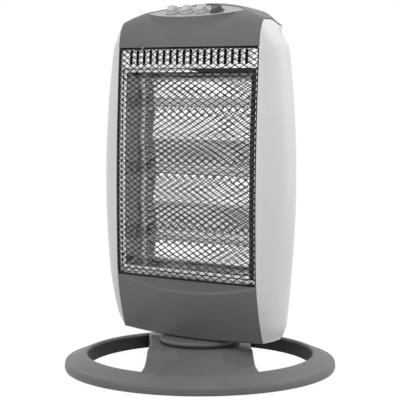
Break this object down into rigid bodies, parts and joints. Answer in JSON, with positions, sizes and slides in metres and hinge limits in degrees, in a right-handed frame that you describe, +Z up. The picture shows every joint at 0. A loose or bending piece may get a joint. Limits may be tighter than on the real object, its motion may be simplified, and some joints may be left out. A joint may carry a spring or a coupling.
{
  "type": "halogen heater",
  "caption": "Free-standing halogen heater: bowed upright head with a mesh guard over horizontal lamps, rocker switches on top, swivelling on a round ring stand.",
  "frame": {"origin": "on the floor, on the swivel axis, at the centre of the ring stand", "axes": "+Z up along the swivel axis, which is the longest extent; the stand faces -Y and the head rests turned 35.5 degrees towards -X"},
  "size_m": [0.36, 0.36, 0.4832],
  "materials": {
    "grey_plastic": "satin grey moulding",
    "pale_plastic": "pale grey, soft gloss",
    "panel_plastic": "light grey satin",
    "white_plastic": "white gloss moulding",
    "dark_plastic": "dark grey gloss moulding",
    "black_plastic": "black",
    "guard_wire": "dark coated wire",
    "reflector": "bright rolled aluminium",
    "steel": "zinc-plated sheet and turned steel",
    "ceramic": "unglazed white",
    "quartz": "clear quartz",
    "filament": "tungsten",
    "brass": "turned brass",
    "rubber": "black rubber"
  },
  "bodies": {
    "stand": {"base_ring": "grey_plastic", "foot_1": "rubber", "foot_2": "rubber", "foot_3": "rubber", "foot_4": "rubber", "base_plate": "steel", "base_screw_1": "steel", "base_screw_2": "steel", "base_screw_3": "steel", "base_screw_4": "steel", "spindle": "steel", "bearing_washer": "white_plastic", "anchor_arm": "steel"},
    "head": {"swivel_disc": "grey_plastic", "inner_frame": "steel", "swing_motor": "steel", "tip_switch_bracket": "black_plastic", "terminal_block": "white_plastic", "chassis": "steel", "reflector": "reflector", "lamp_tube_1": "quartz", "lamp_filament_1": "filament", "lamp_cap_left_1": "ceramic", "lamp_cap_right_1": "ceramic", "lamp_tube_2": "quartz", "lamp_filament_2": "filament", "lamp_cap_left_2": "ceramic", "lamp_cap_right_2": "ceramic", "lamp_tube_3": "quartz", "lamp_filament_3": "filament", "lamp_cap_left_3": "ceramic", "lamp_cap_right_3": "ceramic", "lamp_holder_left": "steel", "lamp_holder_right": "steel", "guard": "guard_wire", "lower_cover": "grey_plastic", "upper_cover": "grey_plastic", "control_panel": "panel_plastic", "switch_1": "white_plastic", "switch_2": "white_plastic", "switch_3": "white_plastic", "switch_4": "dark_plastic", "side_shell_left": "pale_plastic", "side_shell_right": "pale_plastic", "rear_cover": "grey_plastic", "rear_screw_1": "steel", "rear_screw_2": "steel", "rear_screw_3": "steel", "rear_screw_4": "steel", "cord_gland": "rubber"},
    "drive_crank": {"drive_crank": "black_plastic"},
    "drive_link": {"drive_link": "steel"},
    "tip_pendulum": {"tip_pendulum": "brass"},
    "rocker_1": {"rocker_1": "white_plastic"},
    "rocker_2": {"rocker_2": "white_plastic"},
    "rocker_3": {"rocker_3": "white_plastic"},
    "rocker_4": {"rocker_4": "dark_plastic"}
  },
  "joints": [
    {"name": "head_swivel", "type": "hinge", "parent": "stand", "child": "head", "pos_m": [0, 0, 0.036], "axis": [0, 0, 1], "range_deg": [-4.5, 75.5]},
    {"name": "crank_turn", "type": "hinge", "parent": "head", "child": "drive_crank", "pos_m": [-0.02855, 0.03919, 0.069], "axis": [0, 0, 1], "range_deg": [-12, 156]},
    {"name": "link_turn", "type": "hinge", "parent": "drive_crank", "child": "drive_link", "pos_m": [-0.04128, 0.04099, 0.068], "axis": [0, 0, 1], "range_deg": [-156, 12]},
    {"name": "tip_swing", "type": "hinge", "parent": "head", "child": "tip_pendulum", "pos_m": [0.0435, -0.02857, 0.0878], "axis": [0.8141, -0.5807, 0], "range_deg": [-12, 12]},
    {"name": "rocker_1_tip", "type": "hinge", "parent": "head", "child": "rocker_1", "pos_m": [-0.03578, 0.01054, 0.47295], "axis": [0.8141, -0.5807, 0], "range_deg": [0, 18]},
    {"name": "rocker_2_tip", "type": "hinge", "parent": "head", "child": "rocker_2", "pos_m": [-0.01665, -0.00311, 0.47295], "axis": [0.8141, -0.5807, 0], "range_deg": [0, 18]},
    {"name": "rocker_3_tip", "type": "hinge", "parent": "head", "child": "rocker_3", "pos_m": [0.00248, -0.01675, 0.47295], "axis": [0.8141, -0.5807, 0], "range_deg": [0, 18]},
    {"name": "rocker_4_tip", "type": "hinge", "parent": "head", "child": "rocker_4", "pos_m": [0.02161, -0.0304, 0.47295], "axis": [0.8141, -0.5807, 0], "range_deg": [0, 18]}
  ],
  "couplings": [
    {"joint": "crank_turn", "follows": "head_swivel", "ratio": 2.02},
    {"joint": "link_turn", "follows": "head_swivel", "ratio": -2.02}
  ]
}
